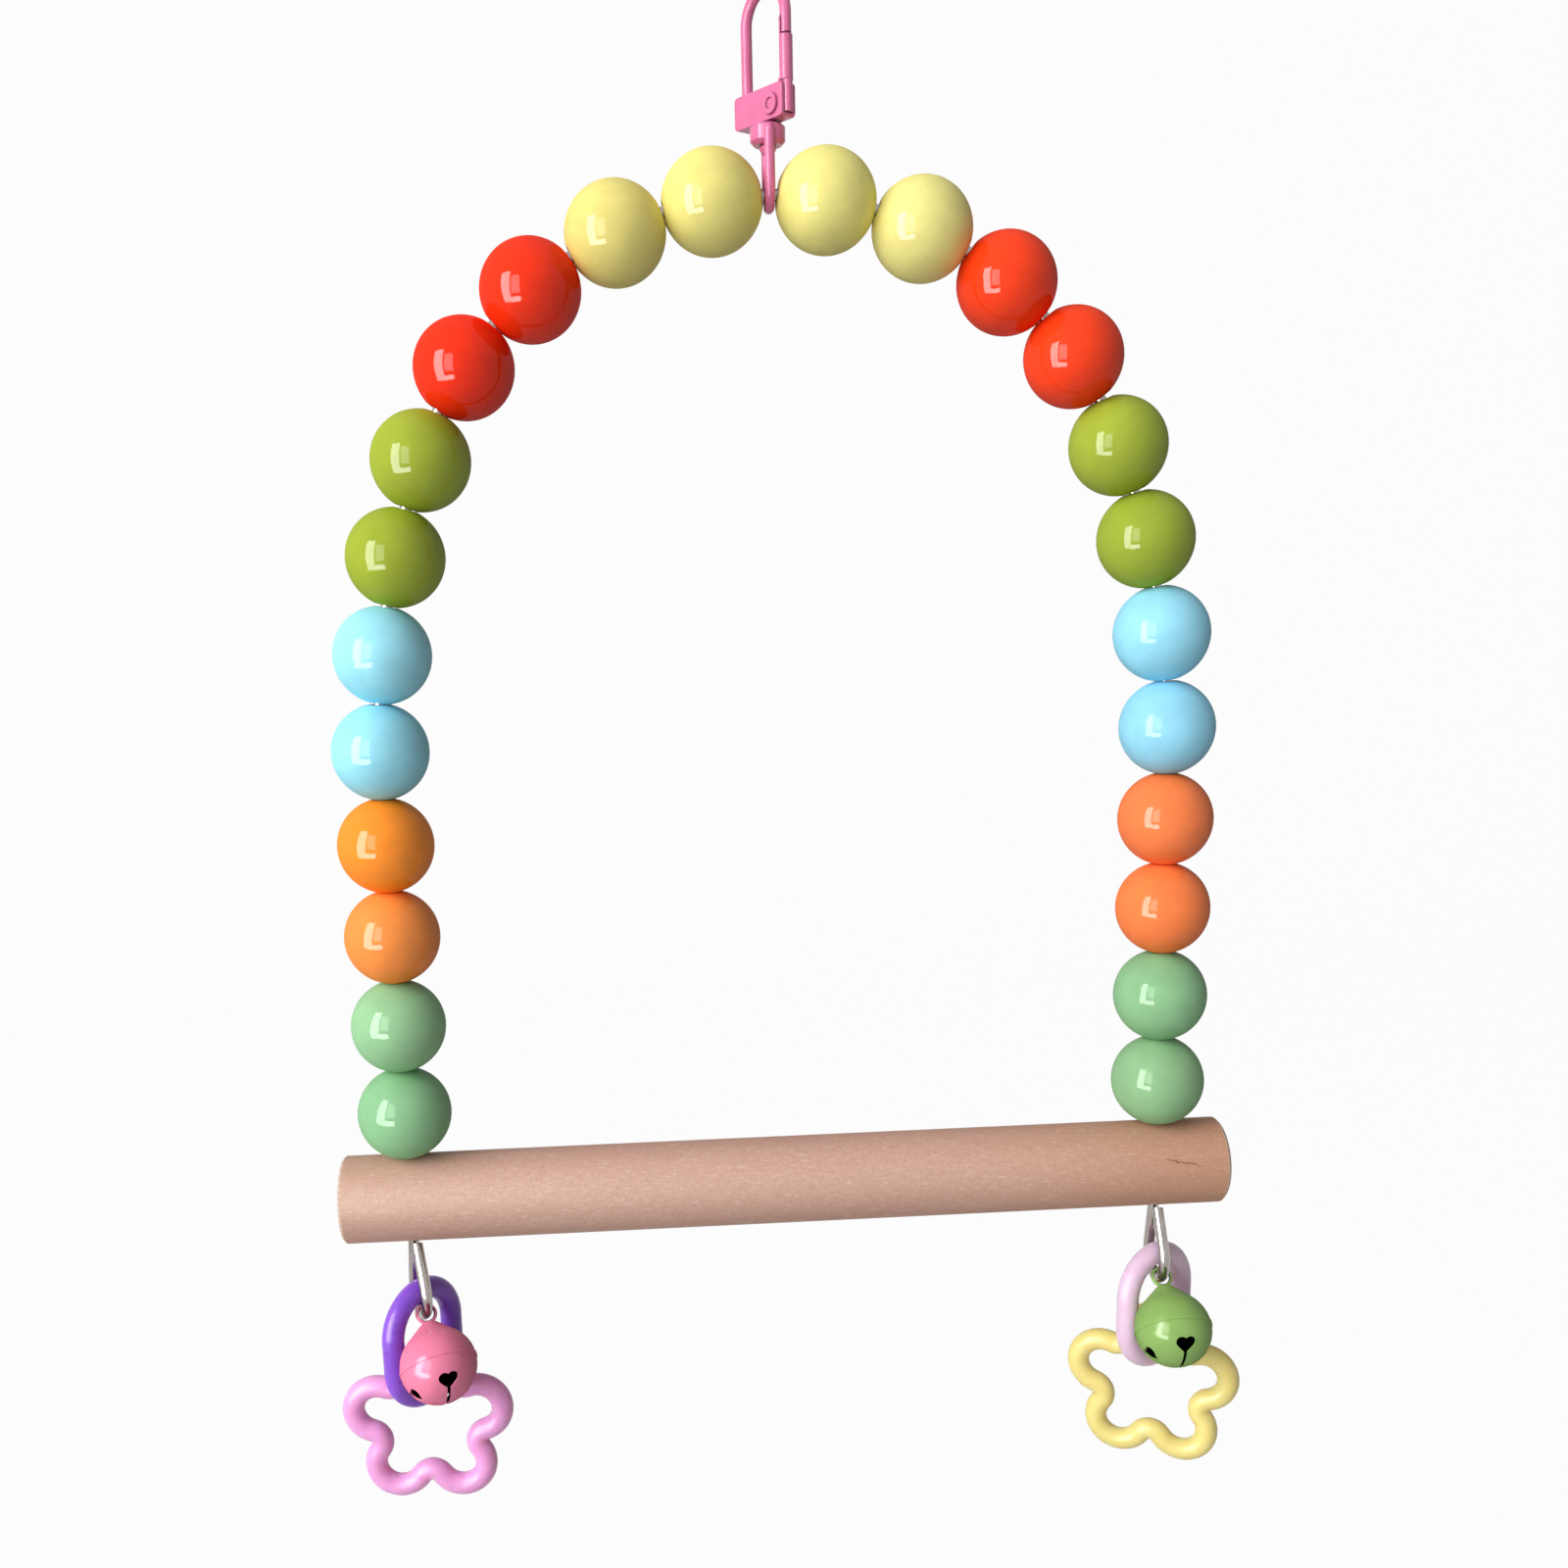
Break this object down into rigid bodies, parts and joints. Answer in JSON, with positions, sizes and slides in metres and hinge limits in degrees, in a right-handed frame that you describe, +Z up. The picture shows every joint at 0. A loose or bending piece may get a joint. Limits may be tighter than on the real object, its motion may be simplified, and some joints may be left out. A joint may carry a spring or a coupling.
{
  "type": "bird swing",
  "caption": "Arched wire bird swing strung with glossy wooden beads, with a round wooden perch, a pink swivel snap hook and a hanging link, star ring and bell at each end of the perch",
  "frame": {"origin": "Inside top of the hook's bend, the point that rests on the cage bar, on the hanging axis.", "axes": "+X runs along the perch to its right end as seen from the front, +Y points to the back, away from the bells, and +Z points up along the hanging axis."},
  "size_m": [0.2017, 0.0332, 0.3122],
  "materials": {
    "pink_paint": "gloss paint",
    "beech": "plain sanded beech dowel",
    "bead_cream": "gloss lacquer",
    "bead_red": "gloss lacquer",
    "bead_olive": "gloss lacquer",
    "bead_blue": "gloss lacquer",
    "bead_orange": "gloss lacquer",
    "bead_mint": "gloss lacquer",
    "purple_plastic": "smooth moulded",
    "lilac_plastic": "smooth moulded",
    "rose_plastic": "smooth moulded",
    "yellow_plastic": "smooth moulded",
    "bell_pink": "gloss enamel",
    "bell_green": "gloss enamel",
    "bare_steel": "bright drawn wire"
  },
  "bodies": {
    "hook": {"hook_body": "pink_paint", "gate_pin": "pink_paint", "gate_spring": "bare_steel", "swivel_stem": "pink_paint"},
    "gate": {"gate": "pink_paint"},
    "ring": {"swivel_ring": "pink_paint"},
    "swing": {"frame_wire": "bare_steel", "perch": "beech"},
    "bead_left_1": {"bead_left_1": "bead_cream"},
    "bead_left_2": {"bead_left_2": "bead_cream"},
    "bead_left_3": {"bead_left_3": "bead_red"},
    "bead_left_4": {"bead_left_4": "bead_red"},
    "bead_left_5": {"bead_left_5": "bead_olive"},
    "bead_left_6": {"bead_left_6": "bead_olive"},
    "bead_left_7": {"bead_left_7": "bead_blue"},
    "bead_left_8": {"bead_left_8": "bead_blue"},
    "bead_left_9": {"bead_left_9": "bead_orange"},
    "bead_left_10": {"bead_left_10": "bead_orange"},
    "bead_left_11": {"bead_left_11": "bead_mint"},
    "bead_left_12": {"bead_left_12": "bead_mint"},
    "link_left": {"link_left": "purple_plastic"},
    "star_left": {"star_left": "rose_plastic"},
    "bell_left": {"bell_loop_left": "bell_pink", "bell_upper_left": "bell_pink", "bell_lower_left": "bell_pink"},
    "pellet_left": {"bell_pellet_left": "bare_steel"},
    "bead_right_1": {"bead_right_1": "bead_cream"},
    "bead_right_2": {"bead_right_2": "bead_cream"},
    "bead_right_3": {"bead_right_3": "bead_red"},
    "bead_right_4": {"bead_right_4": "bead_red"},
    "bead_right_5": {"bead_right_5": "bead_olive"},
    "bead_right_6": {"bead_right_6": "bead_olive"},
    "bead_right_7": {"bead_right_7": "bead_blue"},
    "bead_right_8": {"bead_right_8": "bead_blue"},
    "bead_right_9": {"bead_right_9": "bead_orange"},
    "bead_right_10": {"bead_right_10": "bead_orange"},
    "bead_right_11": {"bead_right_11": "bead_mint"},
    "bead_right_12": {"bead_right_12": "bead_mint"},
    "link_right": {"link_right": "lilac_plastic"},
    "star_right": {"star_right": "yellow_plastic"},
    "bell_right": {"bell_loop_right": "bell_green", "bell_upper_right": "bell_green", "bell_lower_right": "bell_green"},
    "pellet_right": {"bell_pellet_right": "bare_steel"}
  },
  "joints": [
    {"name": "gate_hinge", "type": "hinge", "parent": "hook", "child": "gate", "pos_m": [0.00184, -0.00256, -0.02035], "axis": [-0.8121, -0.5835, 0], "range_deg": [0, 25], "stiffness_Nm_per_rad": 0.001, "springref_deg": -11.46},
    {"name": "swivel_turn", "type": "hinge", "parent": "hook", "child": "ring", "pos_m": [0, 0, -0.0251], "axis": [0, 0, 1], "continuous": true},
    {"name": "swing_rock", "type": "hinge", "parent": "ring", "child": "swing", "pos_m": [0, 0, -0.03593], "axis": [1, 0, 0], "range_deg": [-45, 45]},
    {"name": "bead_left_1_spin", "type": "hinge", "parent": "swing", "child": "bead_left_1", "pos_m": [-0.01123, 0, -0.03707], "axis": [-0.9891, 0, -0.1475], "continuous": true},
    {"name": "bead_left_2_spin", "type": "hinge", "parent": "swing", "child": "bead_left_2", "pos_m": [-0.03035, 0, -0.04255], "axis": [-0.917, 0, -0.3988], "continuous": true},
    {"name": "bead_left_3_spin", "type": "hinge", "parent": "swing", "child": "bead_left_3", "pos_m": [-0.04739, 0, -0.0528], "axis": [-0.7824, 0, -0.6228], "continuous": true},
    {"name": "bead_left_4_spin", "type": "hinge", "parent": "swing", "child": "bead_left_4", "pos_m": [-0.0612, 0, -0.06711], "axis": [-0.5942, 0, -0.8043], "continuous": true},
    {"name": "bead_left_5_spin", "type": "hinge", "parent": "swing", "child": "bead_left_5", "pos_m": [-0.07083, 0, -0.08452], "axis": [-0.3655, 0, -0.9308], "continuous": true},
    {"name": "bead_left_6_spin", "type": "hinge", "parent": "swing", "child": "bead_left_6", "pos_m": [-0.07708, 0, -0.10323], "axis": [-0.2546, 0, -0.967], "continuous": true},
    {"name": "bead_left_7_spin", "type": "hinge", "parent": "swing", "child": "bead_left_7", "pos_m": [-0.08102, 0, -0.12256], "axis": [-0.1445, 0, -0.9895], "continuous": true},
    {"name": "bead_left_8_spin", "type": "hinge", "parent": "swing", "child": "bead_left_8", "pos_m": [-0.08277, 0, -0.14221], "axis": [-0.0327, 0, -0.9995], "continuous": true},
    {"name": "bead_left_9_spin", "type": "hinge", "parent": "swing", "child": "bead_left_9", "pos_m": [-0.083, 0, -0.16178], "axis": [0, 0, -1], "continuous": true},
    {"name": "bead_left_10_spin", "type": "hinge", "parent": "swing", "child": "bead_left_10", "pos_m": [-0.083, 0, -0.18128], "axis": [0, 0, -1], "continuous": true},
    {"name": "bead_left_11_spin", "type": "hinge", "parent": "swing", "child": "bead_left_11", "pos_m": [-0.083, 0, -0.20078], "axis": [0, 0, -1], "continuous": true},
    {"name": "bead_left_12_spin", "type": "hinge", "parent": "swing", "child": "bead_left_12", "pos_m": [-0.083, 0, -0.22028], "axis": [0, 0, -1], "continuous": true},
    {"name": "link_left_swing", "type": "hinge", "parent": "swing", "child": "link_left", "pos_m": [-0.08184, -0.00287, -0.26558], "axis": [-0.3746, 0.9272, 0], "range_deg": [0, 20]},
    {"name": "star_left_swing", "type": "hinge", "parent": "link_left", "child": "star_left", "pos_m": [-0.08207, -0.00231, -0.28508], "axis": [0.5878, 0.809, 0], "range_deg": [-15, 10]},
    {"name": "bell_left_swing", "type": "hinge", "parent": "swing", "child": "bell_left", "pos_m": [-0.08184, -0.00287, -0.26038], "axis": [0.9272, 0.3746, 0], "range_deg": [-35, 0]},
    {"name": "pellet_left_roll", "type": "hinge", "parent": "bell_left", "child": "pellet_left", "pos_m": [-0.07735, -0.01398, -0.27279], "axis": [-0.9272, -0.3746, 0], "range_deg": [-30, 30]},
    {"name": "bead_right_1_spin", "type": "hinge", "parent": "swing", "child": "bead_right_1", "pos_m": [0.01123, 0, -0.03707], "axis": [0.9891, 0, -0.1475], "continuous": true},
    {"name": "bead_right_2_spin", "type": "hinge", "parent": "swing", "child": "bead_right_2", "pos_m": [0.03035, 0, -0.04255], "axis": [0.917, 0, -0.3988], "continuous": true},
    {"name": "bead_right_3_spin", "type": "hinge", "parent": "swing", "child": "bead_right_3", "pos_m": [0.04739, 0, -0.0528], "axis": [0.7824, 0, -0.6228], "continuous": true},
    {"name": "bead_right_4_spin", "type": "hinge", "parent": "swing", "child": "bead_right_4", "pos_m": [0.0612, 0, -0.06711], "axis": [0.5942, 0, -0.8043], "continuous": true},
    {"name": "bead_right_5_spin", "type": "hinge", "parent": "swing", "child": "bead_right_5", "pos_m": [0.07083, 0, -0.08452], "axis": [0.3655, 0, -0.9308], "continuous": true},
    {"name": "bead_right_6_spin", "type": "hinge", "parent": "swing", "child": "bead_right_6", "pos_m": [0.07708, 0, -0.10323], "axis": [0.2546, 0, -0.967], "continuous": true},
    {"name": "bead_right_7_spin", "type": "hinge", "parent": "swing", "child": "bead_right_7", "pos_m": [0.08102, 0, -0.12256], "axis": [0.1445, 0, -0.9895], "continuous": true},
    {"name": "bead_right_8_spin", "type": "hinge", "parent": "swing", "child": "bead_right_8", "pos_m": [0.08277, 0, -0.14221], "axis": [0.0327, 0, -0.9995], "continuous": true},
    {"name": "bead_right_9_spin", "type": "hinge", "parent": "swing", "child": "bead_right_9", "pos_m": [0.083, 0, -0.16178], "axis": [0, 0, -1], "continuous": true},
    {"name": "bead_right_10_spin", "type": "hinge", "parent": "swing", "child": "bead_right_10", "pos_m": [0.083, 0, -0.18128], "axis": [0, 0, -1], "continuous": true},
    {"name": "bead_right_11_spin", "type": "hinge", "parent": "swing", "child": "bead_right_11", "pos_m": [0.083, 0, -0.20078], "axis": [0, 0, -1], "continuous": true},
    {"name": "bead_right_12_spin", "type": "hinge", "parent": "swing", "child": "bead_right_12", "pos_m": [0.083, 0, -0.22028], "axis": [0, 0, -1], "continuous": true},
    {"name": "link_right_swing", "type": "hinge", "parent": "swing", "child": "link_right", "pos_m": [0.083, -0.00309, -0.26558], "axis": [0, 1, 0], "range_deg": [0, 20]},
    {"name": "star_right_swing", "type": "hinge", "parent": "link_right", "child": "star_right", "pos_m": [0.083, -0.00249, -0.28508], "axis": [0.848, 0.5299, 0], "range_deg": [-15, 10]},
    {"name": "bell_right_swing", "type": "hinge", "parent": "swing", "child": "bell_right", "pos_m": [0.083, -0.00309, -0.26038], "axis": [1, 0, 0], "range_deg": [-35, 0]},
    {"name": "pellet_right_roll", "type": "hinge", "parent": "bell_right", "child": "pellet_right", "pos_m": [0.083, -0.01507, -0.27279], "axis": [-1, 0, 0], "range_deg": [-30, 30]}
  ]
}
